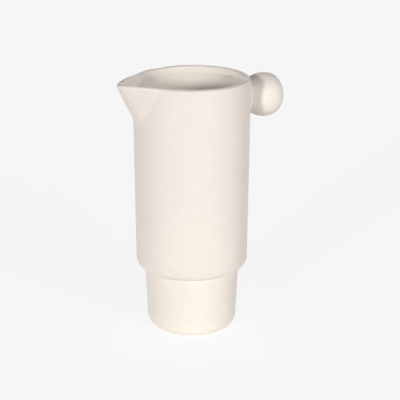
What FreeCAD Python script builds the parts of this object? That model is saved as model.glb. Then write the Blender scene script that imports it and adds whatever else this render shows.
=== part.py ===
import FreeCAD, Part

import math
import os

os.makedirs("parts", exist_ok=True)
Vector = FreeCAD.Vector

# A ceramic table pitcher: a tall barrel on a narrower drum, a folded spout and a ball for a handle.
# It is built up from slabs, a rim strip and a hollow ball, luted together before firing.
# Millimetres, +Z up. The origin is the middle of the face it stands on.
# The spout points along -X and the ball handle along +X.

# Whole pitcher
overall_height = 240.0
shoulder_height = 59.4

# Barrel, the upper wall, and how much narrower it is at its foot
barrel_top_radius = 53.8
barrel_taper = 1.8
barrel_wall = 4.5

# Rim strip, thicker than the wall below it
rim_strip_height = 6.0
rim_strip_thickness = 6.2
lip_rounding = 2.7

# Shoulder ring, the shelf between barrel and drum
shoulder_ring_thickness = 10.0
shoulder_rounding = 9.6
shoulder_coil_radius = 5.0

# Drum, the lower wall: how far it stands in from the barrel, how much it narrows, and its floor
shoulder_step = 8.0
drum_taper = 2.7
drum_wall_thickness = 4.8
floor_thickness = 6.5
foot_rounding = 11.5
floor_coil_radius = 6.0

# Spout
spout_reach = 18.8
spout_depth = 39.5
spout_nose_radius = 17.8
spout_side_angle = 51.0
spout_wall = 5.2
notch_depth = 50.0
notch_top_half_width = 37.0
notch_foot_half_width = 9.0

# Ball handle
ball_radius = 20.3
ball_shell = 3.2
ball_grip = 3.9
ball_drop = 22.05
ball_bead = 1.8
vent_radius = 1.5

# Length that a cutting tool runs past what it cuts
overrun = 5.0
# Points closer together than this are the same point
coincidence = 0.005
# A rounding takes at most this share of the wall that it is on
rounding_limit_share = 0.48

# Radii that follow from the barrel's, and the height of the ball's middle
barrel_foot_radius = barrel_top_radius - barrel_taper
drum_top_radius = barrel_foot_radius - shoulder_step
drum_foot_radius = drum_top_radius - drum_taper
ball_height = overall_height - ball_drop


def barrel_radius(z):
    """Outer radius of the barrel at a height: it narrows evenly from rim to shoulder."""
    rise_share = (z - shoulder_height) / (overall_height - shoulder_height)
    return barrel_foot_radius + (barrel_top_radius - barrel_foot_radius) * rise_share


def drum_radius(z):
    """Outer radius of the drum at a height."""
    return drum_foot_radius + (drum_top_radius - drum_foot_radius) * z / shoulder_height


def upright_cone(radius_low, radius_high, z_low, z_high):
    """A solid cone stump round the pitcher's axis, or a cylinder where both radii agree."""
    height = z_high - z_low
    foot = Vector(0, 0, z_low)
    if radius_low == radius_high:
        return Part.makeCylinder(radius_low, height, foot)
    return Part.makeCone(radius_low, radius_high, height, foot)


def edges_at_height(shape, z):
    """The edges that lie in the level plane at z."""
    level = []
    for edge in shape.Edges:
        box = edge.BoundBox
        if abs(box.ZMin - z) < coincidence and abs(box.ZMax - z) < coincidence:
            level.append(edge)
    return level


def layer(z_low, z_high):
    """Everything near the pitcher between two level planes."""
    reach = barrel_top_radius + spout_reach + 2 * ball_radius + overrun
    return Part.makeCylinder(reach, z_high - z_low, Vector(0, 0, z_low))


# Heights of the joints between the slabs
shoulder_ring_top = shoulder_height + shoulder_ring_thickness
rim_strip_foot = overall_height - rim_strip_height

# Outer form of barrel and drum
barrel_form = upright_cone(barrel_foot_radius, barrel_top_radius, shoulder_height, overall_height)
barrel_form = barrel_form.makeFillet(shoulder_rounding, edges_at_height(barrel_form, shoulder_height))
drum_form = upright_cone(drum_foot_radius, drum_top_radius, 0, shoulder_height)
drum_form = drum_form.makeFillet(foot_rounding, edges_at_height(drum_form, 0))

# Hollow inside the drum, the shoulder ring, the barrel and the rim strip
drum_bore = drum_top_radius - drum_wall_thickness
drum_hollow = upright_cone(
    drum_radius(floor_thickness) - drum_wall_thickness, drum_bore, floor_thickness, shoulder_height
)
ring_hollow = Part.makeCylinder(drum_bore, shoulder_ring_thickness, Vector(0, 0, shoulder_height))
barrel_hollow = upright_cone(
    barrel_radius(shoulder_ring_top) - barrel_wall,
    barrel_radius(rim_strip_foot) - barrel_wall,
    shoulder_ring_top,
    rim_strip_foot,
)
mouth_hollow = upright_cone(
    barrel_radius(rim_strip_foot) - rim_strip_thickness,
    barrel_radius(overall_height + overrun) - rim_strip_thickness,
    rim_strip_foot,
    overall_height + overrun,
)

# How far the spout leans out for each length that it rises, from where it leaves the barrel
spout_root_radius = barrel_radius(overall_height - spout_depth)
spout_lean = (barrel_top_radius + spout_reach - spout_root_radius) / spout_depth


def spout_form(inset, z_top):
    """The spout as a leaning prism: a round nose between two flat sides, set in by a wall or by nothing."""
    z_low = overall_height - spout_depth - overrun - spout_wall
    shift = spout_lean * (overall_height - z_low)
    nose_radius = spout_nose_radius - inset
    nose_centre = barrel_top_radius + spout_reach - spout_nose_radius
    angle = math.radians(spout_side_angle)
    side_distance = nose_centre * math.cos(angle) + nose_radius

    def place(forward, sideways):
        return Vector(-(forward - shift), sideways, z_low)

    nose_forward = nose_centre + nose_radius * math.cos(angle)
    nose_sideways = nose_radius * math.sin(angle)
    side_end_forward = side_distance * math.cos(angle)
    side_end_sideways = side_distance * math.sin(angle)
    left_nose = place(nose_forward, nose_sideways)
    right_nose = place(nose_forward, -nose_sideways)
    left_end = place(side_end_forward, side_end_sideways)
    right_end = place(side_end_forward, -side_end_sideways)
    tip = place(nose_centre + nose_radius, 0)
    back = place(0, 0)
    outline = Part.Wire([
        Part.LineSegment(back, left_end).toShape(),
        Part.LineSegment(left_end, left_nose).toShape(),
        Part.Arc(left_nose, tip, right_nose).toShape(),
        Part.LineSegment(right_nose, right_end).toShape(),
        Part.LineSegment(right_end, back).toShape(),
    ])
    rise = z_top - z_low
    return Part.Face(outline).extrude(Vector(-spout_lean * rise, 0, rise))


# The wall of barrel and drum, with its lip rounded
pot_wall = barrel_form.cut([barrel_hollow, mouth_hollow])
rim_rounding = min(lip_rounding, rounding_limit_share * rim_strip_thickness)
pot_wall = pot_wall.makeFillet(rim_rounding, edges_at_height(pot_wall, overall_height))
pot_wall = pot_wall.fuse(drum_form).cut([drum_hollow, ring_hollow])

# The folded wall of the spout, its lip rounded too: the two edges as short as the wall stay square
spout_fold = spout_form(0, overall_height).cut(spout_form(spout_wall, overall_height))
spout_true_wall = spout_wall * math.cos(math.atan(spout_lean))
spout_rounding = min(lip_rounding, rounding_limit_share * spout_true_wall)
lip_edges = []
for edge in edges_at_height(spout_fold, overall_height):
    if edge.Length > spout_wall + coincidence:
        lip_edges.append(edge)
spout_fold = spout_fold.makeFillet(spout_rounding, lip_edges)
spout_fold = spout_fold.cut([barrel_hollow, mouth_hollow])

# The whole pot as one wall, before it is parted at its joints
channel_mouth = spout_form(spout_wall / 2, overall_height + overrun)
pot = pot_wall.cut(channel_mouth).fuse(spout_fold)

# Notch in barrel and rim that the spout is let into
notch_foot = overall_height - notch_depth
notch_outline = Part.makePolygon([
    Vector(0, -notch_foot_half_width, notch_foot),
    Vector(0, -notch_top_half_width, overall_height),
    Vector(0, -notch_top_half_width, overall_height + overrun),
    Vector(0, notch_top_half_width, overall_height + overrun),
    Vector(0, notch_top_half_width, overall_height),
    Vector(0, notch_foot_half_width, notch_foot),
    Vector(0, -notch_foot_half_width, notch_foot),
])
notch = Part.Face(notch_outline).extrude(Vector(-(barrel_top_radius + spout_reach + overrun), 0, 0))
spout = pot.common(notch)
walls = pot.cut(notch)

# Ball handle: two half shells, let onto the wall, with an air hole into the barrel for the firing
ball_middle = Vector(barrel_radius(ball_height) + ball_radius - ball_grip, 0, ball_height)
ball_solid = Part.makeSphere(ball_radius, ball_middle)
ball_hollow = Part.makeSphere(ball_radius - ball_shell, ball_middle)
vent = Part.makeCylinder(vent_radius, ball_middle.x, Vector(0, 0, ball_height), Vector(1, 0, 0))
ball = ball_solid.cut([ball_hollow, barrel_form, vent])
half_box_size = 2 * (ball_radius + overrun)
outer_half_box = Part.makeBox(
    half_box_size, half_box_size, half_box_size,
    ball_middle - Vector(0, half_box_size / 2, half_box_size / 2),
)
ball_outer_half = ball.common(outer_half_box)
ball_inner_half = ball.cut(outer_half_box)

# Bead of soft clay pressed into the crease round the ball
bead_reach = Part.makeSphere(ball_radius + ball_bead, ball_middle)
wall_reach = upright_cone(
    barrel_foot_radius + ball_bead, barrel_top_radius + ball_bead, shoulder_height, overall_height
)
ball_seam_bead = bead_reach.common(wall_reach).cut([ball_solid, barrel_form])

# Coils pressed into the inside corners over the floor and over the shoulder ring
floor_coil = drum_hollow.cut(
    drum_hollow.makeFillet(floor_coil_radius, edges_at_height(drum_hollow, floor_thickness))
)
shoulder_coil = barrel_hollow.cut(
    barrel_hollow.makeFillet(shoulder_coil_radius, edges_at_height(barrel_hollow, shoulder_ring_top))
)

pieces = {
    "floor_slab": walls.common(layer(0, floor_thickness)),
    "floor_coil": floor_coil,
    "drum_wall": walls.common(layer(floor_thickness, shoulder_height)),
    "shoulder_ring": walls.common(layer(shoulder_height, shoulder_ring_top)),
    "shoulder_coil": shoulder_coil,
    "barrel_wall": walls.common(layer(shoulder_ring_top, rim_strip_foot)).cut(vent),
    "rim_strip": walls.common(layer(rim_strip_foot, overall_height + overrun)),
    "spout": spout,
    "ball_inner_half": ball_inner_half,
    "ball_outer_half": ball_outer_half,
    "ball_seam_bead": ball_seam_bead,
}

for name, shape in pieces.items():
    print(name, "solids", len(shape.Solids), "volume", round(shape.Volume, 1), "valid", shape.isValid())
    shape.exportStep("parts/" + name + ".step")
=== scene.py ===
import math

import bpy
import numpy as np
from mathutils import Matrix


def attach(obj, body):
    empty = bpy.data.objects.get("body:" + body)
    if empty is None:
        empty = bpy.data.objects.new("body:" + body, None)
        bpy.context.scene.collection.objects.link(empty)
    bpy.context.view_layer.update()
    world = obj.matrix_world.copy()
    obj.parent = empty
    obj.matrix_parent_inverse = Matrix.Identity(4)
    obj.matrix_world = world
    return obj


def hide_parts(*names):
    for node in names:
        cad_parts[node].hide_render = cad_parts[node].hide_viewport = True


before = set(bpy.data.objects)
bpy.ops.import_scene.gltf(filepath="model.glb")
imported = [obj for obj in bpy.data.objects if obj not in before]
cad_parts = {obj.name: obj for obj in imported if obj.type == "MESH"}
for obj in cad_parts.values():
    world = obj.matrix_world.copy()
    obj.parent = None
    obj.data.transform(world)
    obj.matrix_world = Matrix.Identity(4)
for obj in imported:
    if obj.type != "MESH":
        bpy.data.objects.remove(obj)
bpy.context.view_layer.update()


# Camera
# It stands beside the pitcher, a little towards the spout's side and above the rim, and looks down
# on it. The lens is shifted, so that the pitcher stands a little left of the middle of the picture.
camera_tilt, camera_turn = math.radians(90.0 - 18.200), math.radians(-22.0)
camera_data = bpy.data.cameras.new("camera")
camera_data.sensor_width = 36.0
camera_data.lens = 116.18
camera_data.shift_x = 0.0208
camera_data.clip_start = 0.05
camera_data.clip_end = 50.0
camera = bpy.data.objects.new("camera", camera_data)
camera.location = (-0.4286, -1.0607, 0.4990)
camera.rotation_euler = (camera_tilt, 0.0, camera_turn)
bpy.context.scene.collection.objects.link(camera)
bpy.context.scene.camera = camera
bpy.context.scene.view_settings.view_transform = "Standard"


# Table and light
# A wide white table, lit a little from below and seen as one flat pale grey. A window stands low in
# front on the left. Five wide white screens throw its light back: two in front and on the right, and
# three low ones on the far left, on the far right and behind.
table_reach = 9.0
table_white, from_below_strength = (0.90, 0.90, 0.90, 1.0), 0.175
table_glow_strength, table_glow_share = 0.992, 0.85
air_strength, room_white = 0.06, (0.922, 0.922, 0.922, 1.0)
white_light = (1.0, 1.0, 1.0, 1.0)

table_mesh = bpy.data.meshes.new("table")
table_mesh.from_pydata([
    (-table_reach, -table_reach, 0.0),
    (table_reach, -table_reach, 0.0),
    (table_reach, table_reach, 0.0),
    (-table_reach, table_reach, 0.0),
], [], [(0, 1, 2, 3)])
table = bpy.data.objects.new("table", table_mesh)
bpy.context.scene.collection.objects.link(table)


def seen_rays(tree):
    """1 where the camera, a reflection or a clear body looks at the surface, else 0."""
    rays = tree.nodes.new("ShaderNodeLightPath")
    first = tree.nodes.new("ShaderNodeMath")
    first.operation = "MAXIMUM"
    tree.links.new(rays.outputs["Is Camera Ray"], first.inputs[0])
    tree.links.new(rays.outputs["Is Glossy Ray"], first.inputs[1])
    both = tree.nodes.new("ShaderNodeMath")
    both.operation = "MAXIMUM"
    tree.links.new(first.outputs[0], both.inputs[0])
    tree.links.new(rays.outputs["Is Transmission Ray"], both.inputs[1])
    return both.outputs[0]


table_paint = bpy.data.materials.new("table_white")
table_paint.use_nodes = True
tree = table_paint.node_tree
tree.nodes.clear()
plain = tree.nodes.new("ShaderNodeBsdfDiffuse")
plain.inputs["Color"].default_value = table_white
lit_from_below = tree.nodes.new("ShaderNodeEmission")
lit_from_below.inputs["Color"].default_value = white_light
lit_from_below.inputs["Strength"].default_value = from_below_strength
surface = tree.nodes.new("ShaderNodeAddShader")
tree.links.new(plain.outputs[0], surface.inputs[0])
tree.links.new(lit_from_below.outputs[0], surface.inputs[1])
glow = tree.nodes.new("ShaderNodeEmission")
glow.inputs["Color"].default_value = white_light
glow.inputs["Strength"].default_value = table_glow_strength
glow_share = tree.nodes.new("ShaderNodeMath")
glow_share.operation = "MULTIPLY"
glow_share.inputs[1].default_value = table_glow_share
tree.links.new(seen_rays(tree), glow_share.inputs[0])
mix = tree.nodes.new("ShaderNodeMixShader")
tree.links.new(glow_share.outputs[0], mix.inputs[0])
tree.links.new(surface.outputs[0], mix.inputs[1])
tree.links.new(glow.outputs[0], mix.inputs[2])
out = tree.nodes.new("ShaderNodeOutputMaterial")
tree.links.new(mix.outputs[0], out.inputs["Surface"])
table_mesh.materials.append(table_paint)

room = bpy.data.worlds.new("room")
room.use_nodes = True
tree = room.node_tree
tree.nodes.clear()
air = tree.nodes.new("ShaderNodeBackground")
air.inputs["Color"].default_value = white_light
air.inputs["Strength"].default_value = air_strength
white = tree.nodes.new("ShaderNodeBackground")
white.inputs["Color"].default_value = room_white
white.inputs["Strength"].default_value = 1.0
mix = tree.nodes.new("ShaderNodeMixShader")
tree.links.new(seen_rays(tree), mix.inputs[0])
tree.links.new(air.outputs[0], mix.inputs[1])
tree.links.new(white.outputs[0], mix.inputs[2])
out = tree.nodes.new("ShaderNodeOutputWorld")
tree.links.new(mix.outputs[0], out.inputs["Surface"])
bpy.context.scene.world = room

# Each lamp's name, its turn from +X about the pitcher's axis, its height, its strength and its
# softness. The angles are in degrees.
lamps = (
    ("window", 219.5, 10.0, 1.49, 6.0),
    ("screen_right", 288.0, 22.0, 1.34, 22.0),
    ("screen_front", 268.0, 22.0, 0.27, 22.0),
    ("screen_far_left", 148.0, 6.0, 0.59, 22.0),
    ("screen_far_right", 333.0, 6.0, 0.18, 22.0),
    ("screen_behind", 68.0, 6.0, 0.39, 22.0),
)
for name, azimuth, elevation, strength, softness in lamps:
    lamp_data = bpy.data.lights.new(name, "SUN")
    lamp_data.energy = strength
    lamp_data.angle = math.radians(softness)
    lamp = bpy.data.objects.new(name, lamp_data)
    lamp.rotation_euler = (math.radians(90.0 - elevation), 0.0, math.radians(azimuth + 90.0))
    bpy.context.scene.collection.objects.link(lamp)


# Drum
# The narrower lower wall, a slab of clay rolled into a tube, with the floor slab luted into its foot
# and the outer corner paddled round. The pot is bare on the flat it stands on; here the glaze covers
# it too.
drum_height, drum_radius = 0.0594, 0.0440
hollow_radius, hollow_foot_radius = 0.0392, 0.03678
foot_radius, foot_rounding = 0.0413, 0.0115
side_start_radius, side_start_height = 0.04187, 0.0125
floor_thickness = 0.0065
steps_round_axis, steps_in_rounding = 256, 32
turning_circle, closing_gap = 0.00001, 0.00003
sharp_corner = math.radians(50.0)

# The glaze: heights in metres, waves and cells to the metre, a speck's size as a share of its cell
# Painted warm light from the table, strongest towards the foot
painted_bounce_warmth, bounce_warmth_above, bounce_warmth_below = (0.010, 0.038, 0.005), 0.15, 0.03
# Painted light from below: a paler band under the shoulder, down to the drum
painted_underlight_ivory, underlight_above, underlight_below = (0.940, 0.890, 0.810), 0.0680, 0.0630
joint_below, joint_above = 0.0593, 0.0594
cloud_waves, cloud_amount = 55.0, 0.5
grain_waves, grain_amount = 900.0, 0.35
speck_brown, speck_cells, speck_amount = (0.40, 0.31, 0.24), 75.0, 0.7
speck_heart, speck_edge = 0.014, 0.030
cells_without_speck, cells_with_speck = 0.80, 0.82
# Clay brown of the thin glaze on the lip, also used as painted shade inside the mouth
thin_glaze_and_shade_brown = (0.56, 0.47, 0.41)
sheen_waves, sheen_change = 130.0, 0.05


def ivory_glaze(name, ivory, shade, roughness):
    """Satin ivory glaze: clouded a little, finely dimpled like an eggshell, with a rare iron speck."""
    paint = bpy.data.materials.new(name)
    paint.use_nodes = True
    tree = paint.node_tree
    shader = tree.nodes["Principled BSDF"]
    shader.inputs["IOR"].default_value = 1.5
    shader.inputs["Specular IOR Level"].default_value = 0.22
    place = tree.nodes.new("ShaderNodeTexCoord")

    def noise(waves, detail):
        """Noise over the piece, with about this many waves to the metre."""
        node = tree.nodes.new("ShaderNodeTexNoise")
        node.inputs["Scale"].default_value = waves
        node.inputs["Detail"].default_value = detail
        tree.links.new(place.outputs["Object"], node.inputs["Vector"])
        return node.outputs["Fac"]

    def spread(value, low_in, high_in, low_out, high_out):
        """The value taken from one range to another."""
        node = tree.nodes.new("ShaderNodeMapRange")
        node.inputs["From Min"].default_value = low_in
        node.inputs["From Max"].default_value = high_in
        node.inputs["To Min"].default_value = low_out
        node.inputs["To Max"].default_value = high_out
        tree.links.new(value, node.inputs["Value"])
        return node.outputs["Result"]

    def where_both(first, second):
        """One share times another."""
        node = tree.nodes.new("ShaderNodeMath")
        node.operation = "MULTIPLY"
        tree.links.new(first, node.inputs[0])
        tree.links.new(second, node.inputs[1])
        return node.outputs[0]

    def blend(amount, base, over):
        """One colour over another by an amount."""
        node = tree.nodes.new("ShaderNodeMix")
        node.data_type = "RGBA"
        tree.links.new(amount, node.inputs["Factor"])
        for socket, colour in ((node.inputs["A"], base), (node.inputs["B"], over)):
            if isinstance(colour, tuple):
                socket.default_value = (*colour, 1.0)
            else:
                tree.links.new(colour, socket)
        return node.outputs["Result"]

    def relief(height, strength, depth):
        """A bump over the piece, its depth in metres."""
        node = tree.nodes.new("ShaderNodeBump")
        node.inputs["Strength"].default_value = strength
        node.inputs["Distance"].default_value = depth
        tree.links.new(height, node.inputs["Height"])
        return node

    # Painted warm light bounced up from the table: a little warmer towards the foot
    axes = tree.nodes.new("ShaderNodeSeparateXYZ")
    tree.links.new(place.outputs["Object"], axes.inputs["Vector"])
    height = axes.outputs["Z"]
    bounce_warmed = tuple(part + more for part, more in zip(ivory, painted_bounce_warmth))
    colour = blend(spread(height, bounce_warmth_above, bounce_warmth_below, 0.0, 1.0), ivory, bounce_warmed)

    # Painted light from below: paler under the shoulder, down to the joint with the drum
    painted_underlight = where_both(spread(height, underlight_above, underlight_below, 0.0, 1.0),
                          spread(height, joint_below, joint_above, 0.0, 1.0))
    colour = blend(painted_underlight, colour, painted_underlight_ivory)

    # Clouds and a fine grain of the darker shade
    clouds = spread(noise(cloud_waves, 3.0), 0.35, 0.65, 0.0, cloud_amount)
    colour = blend(clouds, colour, shade)
    grain = spread(noise(grain_waves, 2.0), 0.3, 0.7, 0.0, grain_amount)
    colour = blend(grain, colour, shade)

    # An iron speck in about one cell of five
    cells = tree.nodes.new("ShaderNodeTexVoronoi")
    cells.inputs["Scale"].default_value = speck_cells
    tree.links.new(place.outputs["Object"], cells.inputs["Vector"])
    draws = tree.nodes.new("ShaderNodeSeparateColor")
    tree.links.new(cells.outputs["Color"], draws.inputs["Color"])
    specks = where_both(
        spread(cells.outputs["Distance"], speck_heart, speck_edge, speck_amount, 0.0),
        spread(draws.outputs["Red"], cells_without_speck, cells_with_speck, 0.0, 1.0))
    colour = blend(specks, colour, speck_brown)

    # The clay shows through where the glaze runs thin over the lip, deepened there by painted shade;
    # the same brown is painted shade inside the mouth and the spout
    thin_and_shade = tree.nodes.new("ShaderNodeAttribute")
    thin_and_shade.attribute_name = "thin_glaze_and_painted_shade"
    colour = blend(thin_and_shade.outputs["Fac"], colour, thin_glaze_and_shade_brown)
    tree.links.new(colour, shader.inputs["Base Color"])
    sheen = spread(noise(sheen_waves, 2.0), 0.3, 0.7,
                   roughness - sheen_change, roughness + sheen_change)
    tree.links.new(sheen, shader.inputs["Roughness"])

    dimples = relief(noise(1100.0, 2.0), strength=0.10, depth=0.0002)
    swell = relief(noise(70.0, 1.0), strength=0.25, depth=0.0006)
    tree.links.new(swell.outputs["Normal"], dimples.inputs["Normal"])
    tree.links.new(dimples.outputs["Normal"], shader.inputs["Normal"])
    return paint


outside_glaze = ivory_glaze("ivory_glaze_outside", ivory=(0.880, 0.796, 0.738),
                            shade=(0.840, 0.755, 0.688), roughness=0.45)


def turned_form(name, corners, paint):
    """A closed form turned about the pitcher's axis.

    Each corner has its radius, height and rounding.
    """
    mesh = bpy.data.meshes.new(name)
    mesh.from_pydata(
        [(radius, -height, 0.0) for radius, height, rounding in corners],
        [(k, k + 1) for k in range(len(corners) - 1)], [])
    roundings = mesh.attributes.new("rounding", "FLOAT", "POINT")
    roundings.data.foreach_set("value", [rounding for radius, height, rounding in corners])
    mesh.materials.append(paint)
    piece = bpy.data.objects.new(name, mesh)
    bpy.context.scene.collection.objects.link(piece)

    wheel = bpy.data.node_groups.new("potters_wheel", "GeometryNodeTree")
    face = wheel.interface
    face.new_socket("Profile", in_out="INPUT", socket_type="NodeSocketGeometry")
    round_axis = face.new_socket("Steps round the axis", in_out="INPUT", socket_type="NodeSocketInt")
    in_rounding = face.new_socket("Steps in a rounding", in_out="INPUT", socket_type="NodeSocketInt")
    glaze = face.new_socket("Glaze", in_out="INPUT", socket_type="NodeSocketMaterial")
    face.new_socket("Form", in_out="OUTPUT", socket_type="NodeSocketGeometry")

    def step(kind, **settings):
        node = wheel.nodes.new(kind)
        for key, value in settings.items():
            setattr(node, key, value)
        return node

    given = step("NodeGroupInput")
    profile = step("GeometryNodeMeshToCurve")
    wheel.links.new(given.outputs["Profile"], profile.inputs["Mesh"])
    rounding = step("GeometryNodeInputNamedAttribute", data_type="FLOAT")
    rounding.inputs["Name"].default_value = "rounding"
    rounded = step("GeometryNodeFilletCurve", mode="POLY")
    wheel.links.new(profile.outputs["Curve"], rounded.inputs["Curve"])
    wheel.links.new(rounding.outputs["Attribute"], rounded.inputs["Radius"])
    wheel.links.new(given.outputs["Steps in a rounding"], rounded.inputs["Count"])

    # The profile is swept round a circle too small to see, and the two ends on the axis are closed
    turn = step("GeometryNodeCurvePrimitiveCircle")
    turn.inputs["Radius"].default_value = turning_circle
    wheel.links.new(given.outputs["Steps round the axis"], turn.inputs["Resolution"])
    upright = step("GeometryNodeSetCurveNormal", mode="Z_UP")
    wheel.links.new(turn.outputs["Curve"], upright.inputs["Curve"])
    swept = step("GeometryNodeCurveToMesh")
    wheel.links.new(upright.outputs["Curve"], swept.inputs["Curve"])
    wheel.links.new(rounded.outputs["Curve"], swept.inputs["Profile Curve"])
    outside_out = step("GeometryNodeFlipFaces")
    wheel.links.new(swept.outputs["Mesh"], outside_out.inputs["Mesh"])
    closed = step("GeometryNodeMergeByDistance")
    closed.inputs["Distance"].default_value = closing_gap
    wheel.links.new(outside_out.outputs["Mesh"], closed.inputs["Geometry"])
    smooth = step("GeometryNodeSetShadeSmooth")
    wheel.links.new(closed.outputs["Geometry"], smooth.inputs["Geometry"])
    real = step("GeometryNodeRealizeInstances")
    wheel.links.new(smooth.outputs["Geometry"], real.inputs["Geometry"])
    painted = step("GeometryNodeSetMaterial")
    wheel.links.new(real.outputs["Geometry"], painted.inputs["Geometry"])
    wheel.links.new(given.outputs["Glaze"], painted.inputs["Material"])
    done = step("NodeGroupOutput")
    wheel.links.new(painted.outputs["Geometry"], done.inputs["Form"])

    turning = piece.modifiers.new("turning", "NODES")
    turning.node_group = wheel
    turning[round_axis.identifier] = steps_round_axis
    turning[in_rounding.identifier] = steps_in_rounding
    turning[glaze.identifier] = paint
    turned = piece.evaluated_get(bpy.context.evaluated_depsgraph_get())
    solid = bpy.data.meshes.new_from_object(turned)
    piece.modifiers.clear()
    piece.data = solid
    solid.set_sharp_from_angle(angle=sharp_corner)
    solid.name = name
    return piece


drum = turned_form("drum", [
    (0.0, 0.0, 0.0),
    (foot_radius, 0.0, foot_rounding),
    (side_start_radius, side_start_height, 0.0),
    (drum_radius, drum_height, 0.0),
    (hollow_radius, drum_height, 0.0),
    (hollow_foot_radius, floor_thickness, 0.0),
    (0.0, floor_thickness, 0.0),
], outside_glaze)
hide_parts("drum_wall", "floor_slab")
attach(drum, "root")


# Floor coil
# A thin roll of clay pressed into the corner between floor and drum wall, so that the joint holds
# water. It is the model's own solid, glazed like the rest of the inside.
# The inside glaze is a paler copy of the outside one: painted light inside the mouth.
inside_glaze_painted_light = ivory_glaze("ivory_glaze_inside_painted_light", ivory=(0.942, 0.882, 0.812),
                           shade=(0.904, 0.840, 0.762), roughness=0.42)
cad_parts["floor_coil"].material_slots[0].material = inside_glaze_painted_light


# Shoulder ring
# A flat ring of clay that carries the barrel on the narrower drum. Its outer corner is the round
# under-edge of the barrel, sponged smooth so that the joint above it is lost under the glaze.
ring_top, ring_rounding = 0.0694, 0.0096
ring_foot_radius, ring_top_radius = 0.0520, 0.0521
shoulder = turned_form("shoulder", [
    (hollow_radius, ring_top, 0.0),
    (hollow_radius, drum_height, 0.0),
    (ring_foot_radius, drum_height, ring_rounding),
    (ring_top_radius, ring_top, 0.0),
    (hollow_radius, ring_top, 0.0),
], outside_glaze)
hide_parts("shoulder_ring")
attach(shoulder, "root")


# Shoulder coil
# The same kind of clay roll as at the floor, pressed into the corner between shoulder ring and
# barrel wall. It is the model's own solid too, with the glaze of the inside.
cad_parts["shoulder_coil"].material_slots[0].material = inside_glaze_painted_light


# Barrel, rim strip and spout
# The wide wall with the thicker strip round its mouth and the folded spout let into both. The joints
# are worked over while the clay is soft and lost under the glaze: one skin, creased beside the spout.

# Lengths in metres; turns are counted from the spout's middle
rim_height = 0.2400
barrel_top, barrel_foot = 0.05379, 0.0520
barrel_wall, strip_wall, spout_wall = 0.0045, 0.0062, 0.0052
strip_foot, strip_ease, strip_ease_away = 0.2340, 0.0007, 0.0220
handle_edge, handle_fade = 0.95, 0.17
spout_reach, spout_depth = 0.0192, 0.0395
nose_radius, nose_widening = 0.0132, 0.20
side_radius, side_turn, side_end_turn = 0.1400, math.radians(42.0), math.radians(60.0)
crease_ease, inner_crease_ease = 0.0005, 0.0018
press_depth, press_fade, press_rise = 0.0010, 0.0036, 2.0
lip_rounding, spout_lip_rounding, spout_lip_proud = 0.0027, 0.0022, 0.004


def barrel_radius(height):
    """Outer radius of the barrel: it narrows evenly from rim to shoulder."""
    rise = (height - drum_height) / (rim_height - drum_height)
    return barrel_foot + (barrel_top - barrel_foot) * rise


spout_lean = (barrel_top + spout_reach - barrel_radius(rim_height - spout_depth)) / spout_depth


def round_distance(turn, ahead, aside, radius):
    """How far a round form reaches from the axis, its middle lying ahead and aside of the axis."""
    along = ahead * np.cos(turn) + aside * np.sin(turn)
    across = ahead * np.sin(turn) - aside * np.cos(turn)
    return along + np.sqrt(np.maximum(radius ** 2 - across ** 2, 0.0))


def spout_distance(turn, height, inset):
    """How far the spout reaches from the axis: a round nose between two gently curved sides."""
    away = np.abs(turn)
    drop = rim_height - height
    nose = nose_radius + nose_widening * np.clip(drop, 0.0, spout_depth)
    centre = np.maximum(barrel_top + spout_reach - nose - spout_lean * drop, 0.0)
    nose_part = round_distance(away, centre, 0.0, nose - inset)
    near = np.minimum(away, side_end_turn)
    side_ahead = centre - (side_radius - nose) * math.cos(side_turn)
    side_aside = -(side_radius - nose) * math.sin(side_turn)
    side_part = round_distance(near, side_ahead, side_aside, side_radius - inset)
    side_part = side_part * np.maximum(np.cos(away - near), 0.0)
    bend = nose - inset
    tangent = np.arctan2(bend * math.sin(side_turn), centre + bend * math.cos(side_turn))
    return np.where(away < tangent, nose_part, side_part)


def eased_larger(first, second, ease):
    """The larger of two distances, with the crease between them filled a little."""
    share = np.clip(0.5 + 0.5 * (first - second) / ease, 0.0, 1.0)
    return second * (1.0 - share) + first * share + ease * share * (1.0 - share)


def eased_climb(climb):
    """The climb from 0 to 1, without a corner at either end."""
    return climb * climb * (3.0 - 2.0 * climb)


def in_plan(turn, distance):
    """Points at these turns from the spout's middle and these distances from the axis."""
    return np.stack([-distance * np.cos(turn), distance * np.sin(turn)], axis=1)


def outer_outline(turn, height):
    """Outside of barrel and spout at one height, the wall pressed in a little beside the creases."""
    spout = spout_distance(turn, height, 0.0)
    barrel = barrel_radius(height)
    above_foot = (spout_depth - rim_height + height) / spout_depth
    beside_crease = np.exp(-np.maximum(barrel - spout, 0.0) / press_fade)
    pressed = press_depth * eased_climb(np.clip(press_rise * above_foot, 0.0, 1.0)) * beside_crease
    return in_plan(turn, eased_larger(spout, barrel - pressed, crease_ease))


def at_handle(turn):
    """1 on the wall by the ball, 0 round the rest."""
    return 1.0 - np.clip((np.cos(turn) + handle_edge) / handle_fade, 0.0, 1.0)


def strip_share(turn, height):
    """0 below the rim strip, 1 on it: a crisp step at the handle, wiped smooth elsewhere."""
    ease = strip_ease_away + (strip_ease - strip_ease_away) * at_handle(turn)
    climb = np.clip((height - strip_foot - 0.5 * strip_ease) / ease + 1.0, 0.0, 1.0)
    return eased_climb(climb)


def inner_outline(turn, height):
    """Inside of barrel, rim strip and spout at one height."""
    spout = spout_distance(turn, height, spout_wall)
    wall = barrel_wall + (strip_wall - barrel_wall) * strip_share(turn, height)
    return in_plan(turn, eased_larger(spout, barrel_radius(height) - wall, inner_crease_ease))


def outward(plan):
    """Unit vectors pointing out of a closed outline."""
    along = np.roll(plan, -1, axis=0) - np.roll(plan, 1, axis=0)
    across = np.stack([along[:, 1], -along[:, 0]], axis=1) / np.linalg.norm(along, axis=1)[:, None]
    return across * np.sign((across * plan).sum(axis=1))[:, None]


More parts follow.
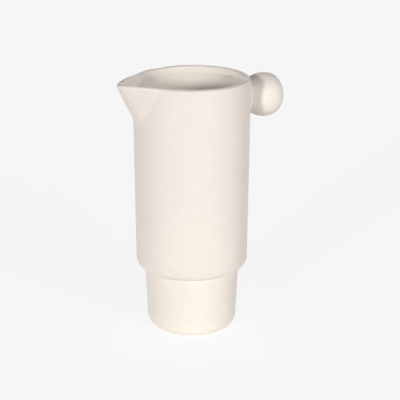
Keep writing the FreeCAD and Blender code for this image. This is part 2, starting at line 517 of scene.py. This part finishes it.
# Columns stand close together across the spout and wider apart round the rest
spout_end, spout_columns, wall_columns = 64.0, 233, 125
turns = np.radians(np.concatenate([
    np.linspace(-spout_end, spout_end, spout_columns)[:-1],
    np.linspace(spout_end, 360.0 - spout_end, wall_columns)[:-1],
]))
turns = np.where(turns > math.pi, turns - 2.0 * math.pi, turns)
proud = spout_distance(turns, rim_height, 0.0) - barrel_top
spout_share = np.clip(proud / spout_lip_proud, 0.0, 1.0)
lip_bend = lip_rounding + (spout_lip_rounding - lip_rounding) * spout_share


def dip(middle, width, depth):
    """A shallow dip in the lip, its middle and width in degrees of turn."""
    return depth * np.exp(-0.5 * ((np.degrees(turns) - middle) / width) ** 2)


# The lip dips at the spout's tip, and a little beside the crease on the far side
tip_dip = dip(middle=4.5, width=6.2, depth=0.0012)
far_dip = dip(middle=74.0, width=10.0, depth=0.0007)
lip_height = rim_height - tip_dip - far_dip
lip_steps, just_below = 13, 0.002


def lip_rows(outline, side):
    """Where the wall ends under the lip, and the rows of its rounding.

    Side is 1 outside and -1 inside.
    """
    top = outline(turns, lip_height)
    out = outward(top)
    lean = ((top - outline(turns, lip_height - just_below)) * out).sum(axis=1) / just_below
    slope = np.arctan(lean)
    wall_end = lip_height - lip_bend * (1.0 + side * np.sin(slope))
    bends = []
    for share in np.linspace(0.0, 1.0, lip_steps):
        angle = -side * slope + (0.5 * math.pi + side * slope) * share
        down = lip_bend * (1.0 - np.sin(angle))
        back = lip_bend * (np.sqrt(1.0 + lean ** 2) - np.cos(angle)) + side * lean * lip_bend
        plan = outline(turns, lip_height - down) + out * (lean * down - side * back)[:, None]
        bends.append(np.column_stack([plan, lip_height - down]))
    return wall_end, bends


def wall_rows(outline, low, high, count):
    """Rows of wall between two heights, each one number or one to a column."""
    rows = []
    for share in np.linspace(0.0, 1.0, count):
        height = (low + (high - low) * share) * np.ones(len(turns))
        rows.append(np.column_stack([outline(turns, height), height]))
    return rows


# The rows run up the outside, over the lip and down the inside. They stand far apart on the plain
# wall below the spout, and close together at the strip's lower edge.
plain_top, plain_rows = 0.184, 15
outer_rows, inner_rows = 60, 52
strip_rows, strip_edge_rows = 5, 9
strip_start = strip_foot + 0.0009
strip_edge_top, strip_edge_foot = strip_foot + 0.0006, strip_foot - 0.0006
under_strip = strip_foot - 0.0010
outer_end, outer_lip = lip_rows(outer_outline, 1.0)
inner_end, inner_lip = lip_rows(inner_outline, -1.0)
rows = wall_rows(outer_outline, ring_top, plain_top, plain_rows)[:-1]
rows += wall_rows(outer_outline, plain_top, outer_end, outer_rows)[:-1]
lip_start = len(rows)
rows += outer_lip + inner_lip[::-1]
lip_end = len(rows)
rows += wall_rows(inner_outline, inner_end, strip_start, strip_rows)[1:]
rows += wall_rows(inner_outline, strip_edge_top, strip_edge_foot, strip_edge_rows)
rows += wall_rows(inner_outline, under_strip, plain_top, inner_rows)
rows += wall_rows(inner_outline, plain_top, ring_top, plain_rows)[1:]

columns = len(turns)
here = np.arange(len(rows) * columns).reshape(len(rows), columns)
above = np.roll(here, -1, axis=0)
faces = np.stack([here, above, np.roll(above, -1, axis=1), np.roll(here, -1, axis=1)], axis=2)
barrel_mesh = bpy.data.meshes.new("barrel")
barrel_mesh.from_pydata(np.concatenate(rows).tolist(), [], faces.reshape(-1, 4).tolist())

# Painted shade inside the spout and on the inside wall below the strip, most of all at the handle; on
# the lip the glaze runs thin, deepened by painted shade
lip_thinness_and_shade, spout_painted_shade = 0.55, 0.18
wall_painted_shade, handle_painted_shade, shade_fade_height = 0.18, 0.15, 0.0014
thin_and_shade = np.zeros((len(rows), columns))
for k in range(lip_steps):
    crest = lip_thinness_and_shade * (k / (lip_steps - 1)) ** 2
    thin_and_shade[lip_start + k] = crest
    thin_and_shade[lip_end - 1 - k] = crest
for k in range(lip_end, len(rows)):
    below = np.clip((strip_foot - rows[k][:, 2]) / shade_fade_height + 0.5, 0.0, 1.0)
    on_wall = wall_painted_shade + handle_painted_shade * at_handle(turns)
    thin_and_shade[k] = below * on_wall + (1.0 - below) * spout_painted_shade * spout_share
thin_glaze_and_painted_shade = barrel_mesh.attributes.new("thin_glaze_and_painted_shade", "FLOAT", "POINT")
thin_glaze_and_painted_shade.data.foreach_set("value", thin_and_shade.ravel())


def finished_piece(name, mesh, *paints):
    """The piece with its glazes, smooth but for its sharp corners."""
    mesh.shade_smooth()
    mesh.set_sharp_from_angle(angle=sharp_corner)
    for paint in paints:
        mesh.materials.append(paint)
    piece = bpy.data.objects.new(name, mesh)
    bpy.context.scene.collection.objects.link(piece)
    return piece


barrel = finished_piece("barrel", barrel_mesh, outside_glaze, inside_glaze_painted_light)
inside = np.arange(len(rows)) >= lip_start + lip_steps
barrel_mesh.polygons.foreach_set("material_index", np.repeat(inside.astype(np.int32), columns))
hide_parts("barrel_wall", "rim_strip", "spout")
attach(barrel, "root")


# Ball handle
# Two pinched half shells of clay, joined and rolled round, then cut to the curve of the wall and
# luted on. The seam between them is sponged away, and patting has left the outer half a little flat.
ball_x, ball_height, ball_round = 0.0712, 0.21795, 0.0204
outer_length, outer_fullness = 0.0179, 2.33
wall_length, wall_fullness = 0.0215, 2.0
ball_cut = 0.893
ball_end = math.acos(-ball_cut)
ball_rings, ball_steps = 96, 144
# The ball's glaze is a copy of the outside one a little paler in green: painted light on its shaded
# side.
ball_glaze_painted_light = ivory_glaze("ivory_glaze_ball_painted_light", ivory=(0.882, 0.814, 0.744),
                         shade=(0.848, 0.780, 0.706), roughness=0.45)


def on_ball(turn, around):
    """A point of the ball and the way out of it there. Turn runs from its outer end to the wall."""
    if turn < 0.5 * math.pi:
        length, fullness = outer_length, outer_fullness
    else:
        length, fullness = wall_length, wall_fullness
    along = abs(math.cos(turn)) ** (2.0 / fullness)
    across = math.sin(turn) ** (2.0 / fullness)
    ahead = math.copysign(1.0, math.cos(turn))
    out_along = ahead * along ** (fullness - 1.0) / length
    out_across = across ** (fullness - 1.0) / ball_round
    steep = math.hypot(out_along, out_across)
    axis = np.array([1.0, 0.0, 0.0])
    round_x = np.array([0.0, math.cos(around), math.sin(around)])
    ball_middle = np.array([ball_x, 0.0, ball_height])
    point = ball_middle + axis * (ahead * along * length) + round_x * (across * ball_round)
    return point, (axis * out_along + round_x * out_across) / steep


ball_points = [(ball_x + outer_length, 0.0, ball_height)]
for ring in range(1, ball_rings + 1):
    for step in range(ball_steps):
        point, out = on_ball(ball_end * ring / ball_rings, 2.0 * math.pi * step / ball_steps)
        ball_points.append(tuple(point))
ball_faces = [(0, 1 + step, 1 + (step + 1) % ball_steps) for step in range(ball_steps)]
for ring in range(ball_rings - 1):
    low, high = 1 + ring * ball_steps, 1 + (ring + 1) * ball_steps
    for step in range(ball_steps):
        after = (step + 1) % ball_steps
        ball_faces.append((low + step, high + step, high + after, low + after))
last = 1 + (ball_rings - 1) * ball_steps
ball_faces.append(tuple(last + step for step in range(ball_steps))[::-1])
ball_mesh = bpy.data.meshes.new("ball")
ball_mesh.from_pydata(ball_points, [], ball_faces)
ball = finished_piece("ball", ball_mesh, ball_glaze_painted_light)
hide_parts("ball_inner_half", "ball_outer_half")
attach(ball, "root")


# Bead of slip round the ball
# Soft clay pushed into the crease between ball and wall and wiped hollow with a finger tool. It runs
# out flush with both.
bead_steps, bead_arc, halvings = 192, 14, 40
finger, bead_root = 0.0018, 0.0004
bead_points = []
for step in range(bead_steps):
    # Where the finger touches the ball and the wall at once
    around = 2.0 * math.pi * step / bead_steps
    free, buried = 0.5 * math.pi, ball_end
    for halving in range(halvings):
        turn = 0.5 * (free + buried)
        touch, out = on_ball(turn, around)
        middle = touch + out * finger
        if math.hypot(middle[0], middle[1]) < barrel_radius(middle[2]) + finger:
            buried = turn
        else:
            free = turn
    to_ball = -out
    to_wall = -np.array([middle[0], middle[1], 0.0]) / math.hypot(middle[0], middle[1])
    opening = math.acos(float(np.dot(to_ball, to_wall)))
    loop = [middle + to_ball * (finger + bead_root)]
    for k in range(bead_arc + 1):
        part = k / bead_arc
        ball_part, wall_part = math.sin((1.0 - part) * opening), math.sin(part * opening)
        way = (to_ball * ball_part + to_wall * wall_part) / math.sin(opening)
        loop.append(middle + way * finger)
    loop.append(middle + to_wall * (finger + bead_root))
    bead_points.extend(tuple(point) for point in loop)
bead_faces = []
for step in range(bead_steps):
    first, second = step * len(loop), (step + 1) % bead_steps * len(loop)
    for k in range(len(loop)):
        after = (k + 1) % len(loop)
        bead_faces.append((first + k, second + k, second + after, first + after))
bead_mesh = bpy.data.meshes.new("ball_bead")
bead_mesh.from_pydata(bead_points, [], bead_faces)
ball_bead = finished_piece("ball_bead", bead_mesh, outside_glaze)
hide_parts("ball_seam_bead")
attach(ball_bead, "root")
